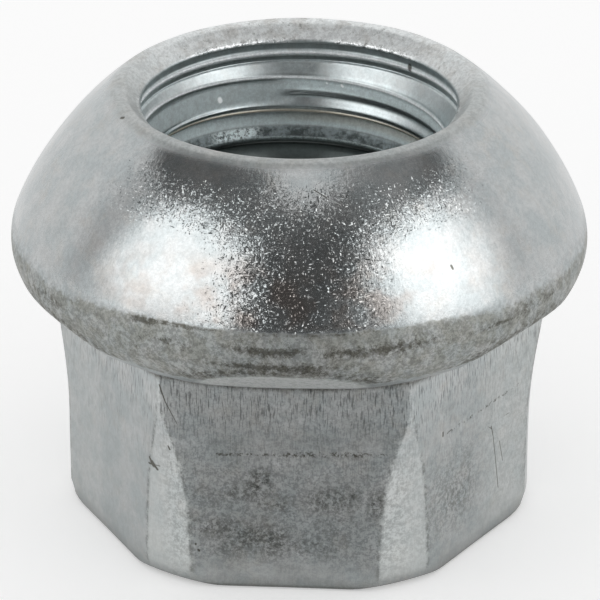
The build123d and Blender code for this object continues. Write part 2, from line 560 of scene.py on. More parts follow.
def add_mesh(name, points, faces):
    """A mesh object from points in millimetres and quads, in which a repeated corner makes a triangle."""
    after = np.roll(faces, -1, axis=1)
    keep = faces != after
    sizes = keep.sum(1)
    good = sizes >= 3
    keep, sizes, faces = keep[good], sizes[good], faces[good]
    corners = faces[keep]
    starts = np.concatenate([[0], np.cumsum(sizes)[:-1]])
    mesh = bpy.data.meshes.new(name)
    mesh.vertices.add(len(points))
    mesh.vertices.foreach_set("co", (points * MM).astype(np.float32).ravel())
    mesh.loops.add(len(corners))
    mesh.loops.foreach_set("vertex_index", corners.astype(np.int32))
    mesh.polygons.add(len(sizes))
    mesh.polygons.foreach_set("loop_start", starts.astype(np.int32))
    mesh.update(calc_edges=True)
    mesh.validate()
    mesh.shade_smooth()
    piece = bpy.data.objects.new(name, mesh)
    bpy.context.scene.collection.objects.link(piece)
    return piece


def set_attribute(piece, name, values):
    """A number for each point of the mesh, which the materials read."""
    layer = piece.data.attributes.new(name, "FLOAT", "POINT")
    layer.data.foreach_set("value", values.astype(np.float32))


class Shader:
    """The nodes of a material or of the world, made and joined in one place."""

    def __init__(self, owner):
        owner.use_nodes = True
        self.tree = owner.node_tree
        self.tree.nodes.clear()

    def node(self, kind, inputs=None, **settings):
        made = self.tree.nodes.new(kind)
        for key, value in settings.items():
            setattr(made, key, value)
        for key, value in (inputs or {}).items():
            if isinstance(value, bpy.types.NodeSocket):
                self.tree.links.new(value, made.inputs[key])
            else:
                made.inputs[key].default_value = value
        return made

    def math(self, operation, a, b=0.0, c=0.0):
        return self.node("ShaderNodeMath", {0: a, 1: b, 2: c}, operation=operation).outputs[0]

    def mix(self, factor, a, b):
        return self.node("ShaderNodeMix", {0: factor, 6: a, 7: b}, data_type="RGBA").outputs[2]

    def vector(self, operation, a, b=(0, 0, 0), scale=1.0):
        return self.node("ShaderNodeVectorMath", {0: a, 1: b, 3: scale}, operation=operation).outputs[0]

    def scaled(self, vector, scale):
        return self.node("ShaderNodeMapping", {"Vector": vector, "Scale": scale}).outputs[0]

    def product(self, *values):
        total = values[0]
        for value in values[1:]:
            total = self.math("MULTIPLY", total, value)
        return total

    def tint(self, colour, tone, *amounts):
        """The colour mixed towards a tone by the product of the amounts."""
        return self.mix(self.product(*amounts), colour, tone)

    def step(self, value, low, high, out_low=0.0, out_high=1.0):
        made = self.node(
            "ShaderNodeMapRange",
            {0: value, 1: low, 2: high, 3: out_low, 4: out_high},
            interpolation_type="SMOOTHSTEP",
        )
        return made.outputs[0]

    def noise(self, vector, scale, detail, roughness):
        inputs = {"Vector": vector, "Scale": scale, "Detail": detail, "Roughness": roughness}
        return self.node("ShaderNodeTexNoise", inputs).outputs[0]

    def patches(self, vector, scale, detail, roughness, low, high, out_low=0.0, out_high=1.0):
        """Noise raised to patches: out_low where it is below low and out_high where it is above high."""
        return self.step(self.noise(vector, scale, detail, roughness), low, high, out_low, out_high)

    def attribute(self, name):
        return self.node("ShaderNodeAttribute", attribute_name=name).outputs["Fac"]

    def output(self, surface):
        """Joins a shader to the material's output."""
        self.node("ShaderNodeOutputMaterial", {"Surface": surface.outputs[0]})


# The zones that the plating reads, each an attribute of the nut's points, and the grain.
ZONES = (
    "rim", "rim_front_shade", "seat_front_brown", "polish", "glitter", "flats", "corner", "border", "foot", "stain", "streaks",
    "grime", "soil", "crease", "facet", "bore", "frost", "gilt", "scab", "crust", "deep", "ridge", "burr",
    "speck", "relief",
)
LUMP_HEIGHT = 0.000010
FROSTED = 0.42

# Finishes, and the painted shade and highlights among them, as linear red, green and blue.
LEAD_GREY = (0.405, 0.435, 0.44, 1)
PALE_GREY = (0.47, 0.485, 0.485, 1)
WARM_GREY = (0.46, 0.447, 0.42, 1)
RIM_GREY = (0.82, 0.845, 0.845, 1)
RIM_BROWN = (0.46, 0.45, 0.43, 1)
# Dull grey of the plating, also used as painted shade on the flats and on the rim's front.
DULL_AND_SHADE_GREY = (0.19, 0.20, 0.185, 1)
CORNER_GREY = (0.60, 0.62, 0.605, 1)
STAIN_GREY = (0.075, 0.078, 0.068, 1)
GRIME_GREEN = (0.235, 0.235, 0.20, 1)
# Dark dirt, also used as painted shade in the neck's crease.
DIRT_AND_SHADE_DARK = (0.065, 0.060, 0.045, 1)
FACET_GREY = (0.97, 0.99, 0.97, 1)
BORE_GREY = (0.56, 0.62, 0.63, 1)
FROST_GREY = (0.80, 0.88, 0.89, 1)
RIDGE_PAINTED_HIGHLIGHT = (0.97, 0.99, 1.0, 1)
SCAB_DARK = (0.12, 0.14, 0.14, 1)
SCAB_PALE = (0.33, 0.38, 0.39, 1)
DEEP_SHADE_GREY = (0.09, 0.105, 0.10, 1)
GOLD_GREY = (0.62, 0.55, 0.43, 1)
# White rust for the white specks, also used as painted glints on the burr.
WHITE_RUST_AND_GLINT = (0.85, 0.87, 0.87, 1)
SEAT_BROWN = (0.36, 0.31, 0.28, 1)

# Marks on the finish, each a straight line between two places in millimetres, with its half width.
DARK_MARKS = [
    ((-5.85, -8.7, 5.68), (-5.75, -8.75, 5.55), 0.16),
    ((-5.95, -8.6, 5.85), (-5.6, -8.85, 5.4), 0.09),
    ((-6.0, -8.55, 5.55), (-5.45, -8.9, 5.62), 0.07),
    ((-5.05, -9.3, 6.8), (-5.0, -9.35, 6.65), 0.07),
    ((-5.4, -9.45, 9.8), (-5.15, -9.5, 9.0), 0.04),
    ((-5.15, -9.5, 9.0), (-4.65, -9.5, 7.95), 0.04),
    ((-3.9, -9.5, 2.15), (-3.9, -9.5, 2.1), 0.07),
    ((-3.78, -9.5, 1.85), (-3.75, -9.5, 1.8), 0.08),
    ((4.6, 5.5, 18.62), (4.65, 5.45, 18.48), 0.16),
    ((8.75, -3.8, 5.4), (8.82, -3.67, 4.9), 0.04),
    ((8.6, -4.1, 5.55), (8.75, -3.8, 5.3), 0.035),
    ((8.82, -3.67, 4.9), (9.07, -3.23, 2.1), 0.035),
    ((9.1, -3.2, 4.4), (9.25, -2.95, 3.3), 0.03),
    ((9.0, -3.4, 5.5), (9.5, -2.5, 5.45), 0.03),
    ((6.73, -7.3, 6.8), (6.73, -7.3, 6.65), 0.08),
    ((7.05, -9.3, 15.75), (7.1, -9.3, 15.6), 0.08),
    ((1.2, -9.0, 18.95), (1.75, -9.2, 18.7), 0.035),
    ((-7.35, -3.6, 19.68), (-7.45, -3.5, 19.62), 0.10),
    ((7.5, 3.5, 19.6), (7.65, 3.55, 19.55), 0.12),
]
PALE_MARKS = [
    ((-1.9, -10.0, 17.8), (-1.45, -10.4, 17.4), 0.045),
    ((-0.9, -10.7, 17.15), (-0.85, -11.2, 16.4), 0.035),
    ((-3.45, -8.95, 18.45), (-3.15, -9.1, 18.45), 0.05),
    ((1.75, -9.2, 18.7), (2.35, -9.35, 18.45), 0.035),
]
WHITE_MARKS = [
    ((-3.92, 5.4, 16.8), (-3.9, 5.42, 16.72), 0.15),
    ((0.8, 6.7, 17.2), (0.85, 6.7, 17.15), 0.06),
    ((1.5, 6.55, 17.15), (1.55, 6.55, 17.1), 0.08),
    ((1.95, 6.45, 17.05), (2.0, 6.4, 17.05), 0.05),
    ((2.4, 6.3, 16.95), (2.45, 6.25, 16.9), 0.05),
]
FAINT_MARKS = [
    ((-3.0, -9.5, 6.55), (0.1, -9.5, 6.6), 0.10),
    ((0.1, -9.5, 6.62), (4.15, -9.5, 6.74), 0.20),
    ((4.15, -9.5, 6.74), (5.2, -9.1, 6.68), 0.10),
    ((5.2, -9.1, 6.66), (7.1, -6.65, 6.62), 0.09),
    ((7.1, -6.65, 6.62), (9.9, -1.8, 6.55), 0.09),
]


def streaked(s, vector, scale, stretch, detail, roughness):
    """Noise drawn out along the section: the third coordinate counts for less than the other two."""
    return s.noise(s.scaled(vector, (1, 1, 1 / stretch)), scale, detail, roughness)


def facets(s, vector, scale, steepness, tilt):
    """Random tilts of the grain's small flat facets: most of them slight, the fewer the steeper."""
    cell = s.node("ShaderNodeTexVoronoi", {"Vector": vector, "Scale": scale})
    colour = cell.outputs["Color"]
    chance = s.node("ShaderNodeTexWhiteNoise", {"Vector": colour}).outputs["Value"]
    size = s.math("MULTIPLY", s.math("POWER", chance, steepness), tilt)
    near = s.step(cell.outputs["Distance"], 0.25, 0.75, 1.0, 0.0)
    return s.vector("SCALE", s.vector("SUBTRACT", colour, (0.5, 0.5, 0.5)), scale=s.product(size, near))


def bent(s, vector, mm, scale, amount):
    """A vector pushed about by slow noise, so that what is drawn with it curves."""
    push = s.node("ShaderNodeTexNoise", {"Vector": mm, "Scale": scale, "Detail": 1.0}).outputs["Color"]
    push = s.vector("SCALE", s.vector("SUBTRACT", push, (0.5, 0.5, 0.5)), scale=amount)
    return s.vector("ADD", vector, push)


def marked(s, place, marks):
    """How far a place lies within the marks: 1 on their lines and 0 past their half widths."""
    total = None
    for start, end, width in marks:
        start, end = Vector(start), Vector(end)
        along = end - start
        offset = s.vector("SUBTRACT", place, tuple(start))
        dot = s.node("ShaderNodeVectorMath", {0: offset, 1: tuple(along)}, operation="DOT_PRODUCT")
        share = s.math("DIVIDE", dot.outputs["Value"], along.length_squared)
        share = s.node("ShaderNodeClamp", {0: share}).outputs[0]
        foot = s.node("ShaderNodeVectorMath", {0: tuple(along), 3: share}, operation="SCALE").outputs[0]
        apart = s.node("ShaderNodeVectorMath", {0: offset, 1: foot}, operation="DISTANCE").outputs["Value"]
        mark = s.step(apart, 0.4 * width, width, 1.0, 0.0)
        total = mark if total is None else s.math("MAXIMUM", total, mark)
    return total


def base_colour(s, mm):
    """Two greys in soft clouds, with a warm cast in places."""
    cloud = s.patches(mm, 0.7, 5.0, 0.62, 0.38, 0.62)
    warm = s.patches(mm, 0.9, 5.0, 0.65, 0.5, 0.72, 0, 0.45)
    return s.mix(warm, s.mix(cloud, LEAD_GREY, PALE_GREY), WARM_GREY)


def rim_finish(s, colour, mm, zone):
    """The rim: paler than the rest, with brown clouds and dull spots, and painted shade that darkens it in
    front.
    """
    colour = s.tint(colour, RIM_GREY, zone["rim"], 0.8)
    colour = s.tint(colour, RIM_BROWN, zone["rim"], s.patches(mm, 0.9, 5.0, 0.68, 0.46, 0.64, 0.0, 0.6))
    colour = s.tint(colour, DULL_AND_SHADE_GREY, zone["rim"], s.patches(mm, 3.0, 4.0, 0.75, 0.58, 0.68, 0.0, 0.6))
    # Painted shade: the rim is darkened towards the front.
    return s.tint(colour, DULL_AND_SHADE_GREY, zone["rim_front_shade"])


def speckled(s, colour, mm, turned, zone):
    """The colour made darker or lighter by a fine speckle and by short upright scratches."""
    speckle = s.patches(mm, 4.0, 2.6, 1.0, 0.38, 0.62, -0.30, 0.20)
    lines = s.step(streaked(s, turned, 19.0, 10.0, 2.0, 0.5), 0.34, 0.50, -0.48, 0.10)
    shade = s.math("MULTIPLY_ADD", zone["speck"], speckle, 1.0)
    shade = s.math("MULTIPLY", shade, s.math("MULTIPLY_ADD", zone["streaks"], lines, 1.0))
    return s.vector("SCALE", colour, scale=shade)


def side_finish(s, colour, mm, zone):
    """The hexagon: a soft dull mottle, stronger on some flats as painted shade, broken stains, dirt along the
    corners' borders, paler corners that are partly painted highlight, and a darker band round the foot.
    """
    slow = s.noise(mm, 1.1, 4.0, 0.6)
    fine = s.math("MULTIPLY", s.noise(mm, 4.0, 5.0, 0.75), 0.5)
    dull = s.step(s.math("MULTIPLY_ADD", slow, 0.5, fine), 0.40, 0.60, 0.0, 0.38)
    # The dull mottle is the plating's own. Its strength on each flat is painted shade.
    colour = s.tint(colour, DULL_AND_SHADE_GREY, zone["flats"], dull)
    # Paler corners: partly their turned finish, partly painted highlight.
    colour = s.tint(colour, CORNER_GREY, zone["corner"], 0.5)
    colour = s.tint(colour, STAIN_GREY, zone["stain"], s.patches(mm, 4.5, 5.0, 0.8, 0.42, 0.58, 0.05, 1.0))
    ragged = s.patches(mm, 2.5, 5.0, 0.8, 0.42, 0.58, 0.1, 0.8)
    colour = s.tint(colour, STAIN_GREY, zone["border"], ragged, 0.7)
    # Darker round the foot.
    return s.tint(colour, STAIN_GREY, zone["foot"], 0.8)


def dirt_film(s, mm, zone):
    """How far a film of dirt covers the rolled edge. Its upper edge is ragged."""
    return s.step(s.math("ADD", s.noise(mm, 1.8, 6.0, 0.85), zone["grime"]), 0.90, 1.12)


def edge_finish(s, colour, mm, zone, film):
    """The rolled edge: its dirt, dark where it gathered, painted shade in the crease, and the bright facets.
    """
    colour = s.tint(colour, GRIME_GREEN, film, s.patches(mm, 1.3, 4.0, 0.65, 0.42, 0.58, 0.30, 0.62))
    mottle = s.noise(mm, 2.6, 5.0, 0.9)
    gathered = s.step(s.math("MULTIPLY_ADD", zone["soil"], 0.32, mottle), 0.56, 0.78)
    colour = s.tint(colour, DIRT_AND_SHADE_DARK, gathered, film, 0.75)
    broken = s.patches(mm, 3.0, 5.0, 0.7, 0.3, 0.6, 0.35, 1.0)
    # Painted shade: the neck's crease is darkened where shade falls under the flange.
    colour = s.tint(colour, DIRT_AND_SHADE_DARK, zone["crease"], broken, 0.85)
    return s.tint(colour, FACET_GREY, zone["facet"], 0.95)


def bore_finish(s, colour, mm, zone):
    """The bore: bluish zinc, matte in places, gilt along a crest, broken on one turn, and painted shade
    further down.

    The recess's ridge and the bead are painted pale as highlights.
    """
    colour = s.tint(colour, BORE_GREY, zone["bore"], s.patches(mm, 1.6, 5.0, 0.7, 0.40, 0.60, 0.55, 0.95))
    colour = s.tint(colour, FROST_GREY, zone["frost"])
    colour = s.tint(colour, GOLD_GREY, zone["gilt"], 0.8)
    crumbs = s.patches(mm, 2.2, 4.0, 0.7, 0.40, 0.62)
    colour = s.tint(colour, s.mix(crumbs, SCAB_DARK, SCAB_PALE), zone["scab"])
    colour = s.tint(colour, FROST_GREY, zone["crust"], s.patches(mm, 5.5, 4.0, 0.8, 0.42, 0.54))
    # Painted shade deep in the bore.
    colour = s.tint(colour, DEEP_SHADE_GREY, zone["deep"], 0.85)
    # Painted highlight along the ridge and the bead. Their matte roughness is real.
    return s.tint(colour, RIDGE_PAINTED_HIGHLIGHT, zone["ridge"])


def burr_finish(s, colour, mm, zone):
    """The burr left at the foot of the mouth's cone: a dark torn edge, with its bright crumbs painted white
    as glints.
    """
    crumbs = s.noise(mm, 4.2, 4.0, 0.8)
    colour = s.tint(colour, DIRT_AND_SHADE_DARK, zone["burr"], s.step(crumbs, 0.38, 0.46, 0.6, 0.0))
    # Painted highlight: the burr's glinting crumbs are painted white.
    return s.tint(colour, WHITE_RUST_AND_GLINT, zone["burr"], s.step(crumbs, 0.43, 0.50))


def worn_colour(s, mm, turned, zone, film, white):
    """The plating's colour: one zone's finish over another, then the speckle, and the marks last."""
    colour = rim_finish(s, base_colour(s, mm), mm, zone)
    brown_patches = s.patches(mm, 0.75, 3.0, 0.5, 0.42, 0.62, 0.0, 0.7)
    colour = s.tint(colour, SEAT_BROWN, zone["seat_front_brown"], brown_patches)
    colour = side_finish(s, colour, mm, zone)
    colour = edge_finish(s, colour, mm, zone, film)
    colour = bore_finish(s, colour, mm, zone)
    colour = burr_finish(s, colour, mm, zone)
    colour = speckled(s, colour, mm, turned, zone)
    dark = s.math("MULTIPLY", marked(s, mm, DARK_MARKS), 0.85)
    faint = s.product(marked(s, mm, FAINT_MARKS), s.patches(mm, 5.0, 4.0, 0.8, 0.50, 0.60, 0.0, 0.8))
    colour = s.tint(colour, DIRT_AND_SHADE_DARK, s.math("MAXIMUM", dark, faint))
    return s.tint(colour, WHITE_RUST_AND_GLINT, white)


def worn_roughness(s, mm, zone, film):
    """Smoother where it is burnished and in the bore, rougher where it is matte, broken or dirty."""
    rough = s.math("MULTIPLY_ADD", zone["polish"], -0.25, FROSTED)
    rough = s.math("MULTIPLY_ADD", zone["bore"], -0.10, rough)
    matte = s.math("MAXIMUM", zone["frost"], zone["ridge"])
    rough = s.math("ADD", s.step(matte, 0.0, 0.4, 0.0, 0.42), rough)
    rough = s.math("MULTIPLY_ADD", zone["scab"], 0.35, rough)
    rough = s.math("MULTIPLY_ADD", film, 0.15, rough)
    return s.math("MULTIPLY_ADD", marked(s, mm, PALE_MARKS), 0.35, rough)


def grain_normal(s, mm, turned, zone, white):
    """Normals: low lumps, small facets drawn up, round or neither way, and the raised white specks."""
    curved = bent(s, turned, mm, 1.2, 0.5)
    upright = facets(s, s.scaled(curved, (1, 1, 0.4)), 19.0, 3.5, 0.85)
    round_it = facets(s, s.scaled(curved, (0.45, 0.45, 1)), 19.0, 4.5, 0.85)
    tilts = s.vector("ADD", s.vector("ADD", upright, round_it), facets(s, mm, 20.0, 2.0, 0.5))
    lumps = s.math("ADD", s.noise(mm, 6.0, 4.0, 0.6), streaked(s, turned, 6.0, 3.0, 3.0, 0.6))
    inputs = {"Strength": 0.6, "Distance": LUMP_HEIGHT, "Height": s.math("MULTIPLY", lumps, zone["relief"])}
    bump = s.node("ShaderNodeBump", inputs).outputs[0]
    raised = s.vector("SCALE", (0, 0, 0.6), scale=white)
    normal = s.vector("ADD", s.vector("ADD", bump, raised), s.vector("SCALE", tilts, scale=zone["glitter"]))
    return s.vector("NORMALIZE", normal)


def plating():
    """Zinc plating: frosted all over, burnished on the seat, smoother in the bore and dull on the flats.

    The seat's grain is a scatter of small tilted facets on a smooth ground, which glitter where they
    turn a softbox to the eye."""
    material = bpy.data.materials.new("zinc_plating")
    s = Shader(material)
    mm = s.scaled(s.node("ShaderNodeTexCoord").outputs["Object"], (1000, 1000, 1000))
    turned = s.node("ShaderNodeAttribute", attribute_name="turned").outputs["Vector"]
    zone = {name: s.attribute(name) for name in ZONES}
    film = dirt_film(s, mm, zone)
    white = marked(s, mm, WHITE_MARKS)
    inputs = {"Metallic": 1.0, "Base Color": worn_colour(s, mm, turned, zone, film, white)}
    inputs["Roughness"] = worn_roughness(s, mm, zone, film)
    inputs["Normal"] = grain_normal(s, mm, turned, zone, white)
    s.output(s.node("ShaderNodeBsdfPrincipled", inputs))
    return material


def section_length(outside):
    """Length along the section up to each row, on average round the nut."""
    steps = np.linalg.norm(np.diff(outside, axis=0), axis=2).mean(1)
    return np.concatenate([[0], np.cumsum(steps)])


# Stains on the flats: the middle of each in millimetres, its half width and half height, and its strength.
STAINS = [
    ((-1.1, -9.5, 5.3), 0.6, 0.5, 1.0),
    ((-1.6, -9.5, 4.7), 1.1, 0.5, 0.75),
    ((-0.4, -9.5, 4.2), 1.0, 0.45, 0.7),
    ((2.0, -9.5, 4.4), 1.1, 0.6, 0.8),
    ((2.9, -9.5, 4.7), 0.4, 0.5, 0.8),
    ((4.0, -9.5, 4.3), 0.4, 0.6, 1.0),
    ((-3.2, -9.5, 4.5), 1.1, 0.4, 0.4),
    ((-2.8, -9.5, 3.0), 1.3, 0.5, 0.75),
    ((-2.0, -9.5, 3.0), 0.3, 0.2, 1.0),
    ((-1.5, -9.5, 2.6), 1.5, 0.6, 0.8),
    ((-0.5, -9.5, 2.4), 0.7, 0.8, 0.85),
    ((1.0, -9.5, 2.2), 1.4, 0.5, 0.55),
    ((-2.5, -9.5, 1.9), 1.2, 0.3, 0.5),
    ((2.2, -9.5, 3.2), 1.0, 0.6, 0.35),
    ((3.0, -9.5, 1.1), 1.0, 0.15, 0.5),
    ((7.3, -6.2, 3.3), 1.6, 1.4, 0.6),
    ((7.0, -6.5, 3.6), 2.2, 2.2, 0.45),
    ((5.9, -8.0, 3.0), 0.8, 1.8, 0.4),
]


def stained(points):
    """How stained each point is: the strongest of the stains' bell curves there."""
    total = np.zeros(len(points))
    for centre, width, height, strength in STAINS:
        apart = points - np.array(centre)
        across = np.hypot(apart[:, 0], apart[:, 1]) / width
        bell = strength * np.exp(-(across**4) - (np.abs(apart[:, 2]) / height) ** 3)
        total = np.maximum(total, bell)
    return total


# Soil on the rolled edge: the middle's azimuth in degrees to the right of the front and its height in
# millimetres, the half widths of both, and the strength.
SOILED = [
    (-28, 13.7, 3, 0.20, 1.0),
    (-20, 13.8, 9, 0.09, 0.9),
    (10, 13.8, 20, 0.07, 0.5),
    (-22, 13.0, 6, 0.25, 0.5),
    (-2, 13.1, 8, 0.22, 1.0),
    (19, 13.0, 11, 0.28, 0.8),
    (45, 12.9, 6, 0.10, 0.9),
    (0, 12.3, 13, 0.20, 0.9),
    (-56, 12.8, 8, 0.35, 0.5),
    (57, 13.0, 9, 0.40, 0.4),
]


def soiled(azimuth, z):
    """How much soil gathered at each point: the greatest of the patches' bell curves there."""
    total = np.zeros(len(z))
    for middle, height, half_width, half_height, strength in SOILED:
        across = np.abs((azimuth - middle) / half_width)
        bell = strength * np.exp(-(across**3) - ((z - height) / half_height) ** 2)
        total = np.maximum(total, bell)
    return total


class Places:
    """Where each point lies: its coordinates, its angles and its stretch of the section.

    The outside's points come first, then the bore's. A strip is what the turning left of a corner."""

    def __init__(self, points, names, beyond, inset):
        self.points = points
        self.x, self.y, self.z = points.T
        self.reach = np.hypot(self.x, self.y)
        self.azimuth = np.degrees(np.arctan2(self.x, -self.y))
        self.off_front = np.abs(self.azimuth - 2)
        self.front = 0.5 - 0.5 * self.y / self.reach
        self.turn = turn_from_back(np.arctan2(self.y, self.x))
        self.level = self.z - helix_rise(self.turn)
        self.outside = beyond.size
        self.name = np.full(len(points), "bore", dtype=object)
        self.name[:self.outside] = np.repeat(names, COLUMNS)
        self.beyond = self.with_bore(beyond, -1.0)
        self.strip = self.with_bore(soft_step(inset, -0.01, 0.06))
        self.mouth = self.on("rim", "mouth") & (self.z > 19.0)
        self.side = self.on("side", "neck", "end_edge")

    def with_bore(self, values, elsewhere=0.0):
        """The outside's values, followed by another value for every point of the bore."""
        return np.concatenate([values.ravel(), np.full(len(self.points) - values.size, elsewhere)])

    def on(self, *names):
        """Which points lie on the named stretches."""
        return np.isin(self.name, names)


def edge_masks(at):
    """The rolled edge: its facets over the flats, a film of dirt, and the soil gathered in it."""
    flange = at.on("edge", "seat")
    facet = flange * soft_step(at.beyond, 0.0, 0.06) * (at.z < 12.5)
    lip = flange * window(at.beyond, (-0.5, -0.15), (-0.06, 0.0)) * (at.z < 12.8)
    below = np.clip((14.15 - at.z) / (0.5 + 0.6 * soft_step(at.off_front, 25, 50)), 0, 1)
    grime = flange * below * soft_step(at.z, 10.6, 11.5) * (1 - facet) * (0.65 + 0.35 * at.front**3)
    soil = np.maximum(soiled(at.azimuth, at.z), 0.55 * lip) * flange
    return {"facet": facet, "grime": grime, "soil": soil}


def mouth_masks(at):
    """The mouth: a bright rim, painted darker in front as shade, and the burr torn up at the foot of its
    cone.
    """
    back = at.y / at.reach
    torn = window(at.x, (-5.7, -4.3), (-1.0, -0.4)) + window(at.x, (0.9, 1.3), (4.5, 5.1))
    burr = at.on("mouth", "recess") * window(at.z, (18.93, 18.98), (19.18, 19.32))
    return {
        "rim": at.mouth * np.interp(back, [-1.0, -0.6, 0.3, 1.0], [0.12, 0.20, 0.60, 1.0]),
        "rim_front_shade": at.mouth * np.interp(back, [-1.0, 0.0, 0.6], [0.32, 0.28, 0.0]),
        "burr": burr * np.where(at.y > 0, torn, 0.5),
    }


def seat_masks(at, burr):
    """The ball seat: burnished between its ends, glittering where it was scuffed, and browner in front."""
    seat = at.on("seat", "rim", "edge")
    polish = seat * soft_step(at.z, 13.6, 14.1) * (1 - soft_step(at.z, 19.45, 19.7))
    polish = polish * np.interp(at.off_front, [45, 75], [1, 0.8])
    scuffed = np.interp(at.off_front, [9, 16, 24, 45], [1, 0.65, 0.12, 0.08])
    shoulder = soft_step(at.z, 16.8, 17.6) * np.interp(at.off_front, [40, 60], [0.7, 0.1])
    glitter = polish * np.maximum(scuffed, shoulder) * (1 - soft_step(at.z, 18.7, 19.3))
    seat_front_brown = seat * at.front**8 * soft_step(at.z, 13.9, 14.2) * (1 - soft_step(at.z, 15.6, 17.0))
    return {"polish": polish, "glitter": np.maximum(glitter, 1.6 * burr), "seat_front_brown": seat_front_brown}


def bore_masks(at):
    """The bore, by levels that climb with the helix: painted shade below, one broken turn, then matte and
    gilt bands.

    The recess's ridge and the bead along the land are painted pale as highlights, and the land's middle is
    mottled."""
    level, turn = at.level, at.turn
    threaded = at.on("bore")
    left = left_share(turn)
    broken = threaded * soft_step(level, 14.55, 14.65) * (1 - soft_step(level, 14.95, 15.10))
    chipped = threaded * window(level, (14.47, 14.52), (14.58, 14.63))
    chipped = chipped * window(turn, (-0.12, -0.08), (0.13, 0.17))
    mottle = threaded * window(level, (17.56, 17.66), (18.0, 18.05))
    mottle = mottle * window(at.x, (-1.8, -1.1), (0.2, 0.7)) * (at.y > 0)
    gilt = window(level, (15.72, 15.78), (15.91, 15.97))
    warm = 0.35 * (1 - left) * window(level, (15.15, 15.4), (15.7, 15.8))
    matte = 0.9 * (1 - left) * window(level, (16.80, 16.88), (17.28, 17.38))
    matte = matte + 0.35 * left * window(level, (16.14, 16.22), (17.02, 17.12))
    chalk = window(level, (15.02, 15.12), (15.40, 15.74))
    # Painted highlight: the ridge and the bead are painted pale.
    ridge = at.on("recess") * np.exp(-(((at.z - RIDGE_HEIGHT) / RIDGE_WIDTH) ** 2))
    bead = 0.9 * threaded * np.exp(-(((level - BEAD_LEVEL) / 0.05) ** 2))
    return {
        "bore": at.on("bore", "recess") * (1 - 0.45 * window(at.z, (17.5, 17.6), (18.0, 18.06))),
        "deep": threaded * (1 - soft_step(level, 14.36, 14.50)),
        "scab": np.maximum(broken, 0.45 * mottle),
        "crust": np.maximum(broken * window(turn, (0.045, 0.065), (0.10, 0.12)), chipped),
        "gilt": threaded * np.maximum(gilt, warm),
        "frost": threaded * np.maximum(matte, 0.75 * chalk),
        "ridge": np.maximum(ridge, bead),
    }


# Azimuths in degrees between which a flat's finish gives way to the next one's, from left to right.
FLAT_ENDS = [-95, -85, -33, -27, 27, 33, 85, 95]


def side_masks(at, names):
    """The hexagon: dull flats, some darkened by painted shade, pale corners that are partly painted
    highlight, with dirty borders, upright scratches, a darker foot, and painted shade along the crease.

    The corners in outline at the sides are painted pale as highlights, and the crease runs along the middle
    of the neck."""
    z, strip = at.z, at.strip
    # Painted shade: the strength of each flat's dull mottle follows how light falls on that flat, and is
    # strongest on the front flat.
    dull = np.interp(at.azimuth, FLAT_ENDS, [0.6, 0.3, 0.3, 0.85, 0.85, 0.5, 0.5, 0.6])
    # Partly the turned strip's own paler finish, partly a painted highlight where the lamps catch it.
    corner = strip * (0.75 + 0.35 * (1 - soft_step(z, 1.5, 3.5)) - 0.45 * soft_step(z, 5, 8))
    # Painted highlight: the corners in outline at the sides, stronger on the right.
    outline = np.where(at.azimuth > 0, 0.6, 0.3) * window(np.abs(at.azimuth), (56, 72), (96, 112))
    border = 4 * strip * (1 - strip) * soft_step(z, 0.3, 0.6) * (1 - soft_step(z, 8.4, 9.0))
    # Painted shade along the neck's crease, darkest in its middle.
    crease = np.zeros(len(names))
    neck = names == "neck"
    crease[neck] = 1 - np.abs(np.linspace(-1, 1, neck.sum()))
    return {
        "flats": at.side * dull * (1 - strip),
        "corner": at.side * np.maximum(corner, outline) * soft_step(z, 0.2, 0.6),
        "border": at.side * border,
        "streaks": at.side * (0.10 + 0.22 * soft_step(z, 5.0, 6.0) + 0.68 * soft_step(z, 7.2, 8.9)),
        # Darker towards the bottom edge.
        "foot": at.side * (0.85 * (1 - soft_step(z, 0.10, 0.42)) + 0.12 * (1 - soft_step(z, 0.5, 1.6))),
        "stain": at.side * stained(at.points) * (1 - 0.8 * strip),
        "crease": at.with_bore(np.repeat(crease, COLUMNS)),
    }


def skin_masks(at, masks):
    """The skin's fine speckle and low lumps: strongest on the front flat, in the dirt and on the seat."""
    flank = np.interp(at.azimuth, FLAT_ENDS, [0.8, 0.15, 0.15, 1.0, 1.0, 0.45, 0.45, 0.8])
    flank = flank * (0.4 + 0.6 * soft_step(at.z, 0.8, 2.0)) * (1 - 0.3 * soft_step(at.z, 5.5, 7.0))
    speck = 0.25 + at.side * (flank - 0.25) * (1 - 0.3 * at.strip)
    relief = np.where(at.side, 0.35 * flank, np.interp(at.off_front, [25, 50], [1, 0.45]))
    return {
        "speck": speck + 0.65 * masks["grime"] + 0.4 * masks["facet"] + 0.2 * at.mouth,
        "relief": relief * (1 - 0.75 * masks["bore"]),
    }


def zone_masks(at, names):
    """The numbers that tell the material where each finish lies and how strong it is, by name."""
    masks = edge_masks(at) | mouth_masks(at) | bore_masks(at) | side_masks(at, names)
    return masks | seat_masks(at, masks["burr"]) | skin_masks(at, masks)


def turned_places(at):
    """Coordinates that follow the section: the direction from the axis, ten long, and the length along it."""
    length = np.array(at.z)
    outside = at.points[:at.outside].reshape(-1, COLUMNS, 3)
    length[:at.outside] = np.repeat(section_length(outside), COLUMNS)
    return np.stack([10 * at.x / at.reach, 10 * at.y / at.reach, length], -1)


def dress_nut():
    """The nut's piece, with the numbers that its material reads."""
    points, faces, names, beyond, inset = nut_mesh()
    piece = add_mesh(PIECE, points, faces)
    at = Places(points, names, beyond, inset)
    for key, value in zone_masks(at, names).items():
        set_attribute(piece, key, value * 1.0)
    layer = piece.data.attributes.new("turned", "FLOAT_VECTOR", "POINT")
    layer.data.foreach_set("vector", turned_places(at).astype(np.float32).ravel())
    piece.data.materials.append(plating())
    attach(piece, "root")
    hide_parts(NODE)


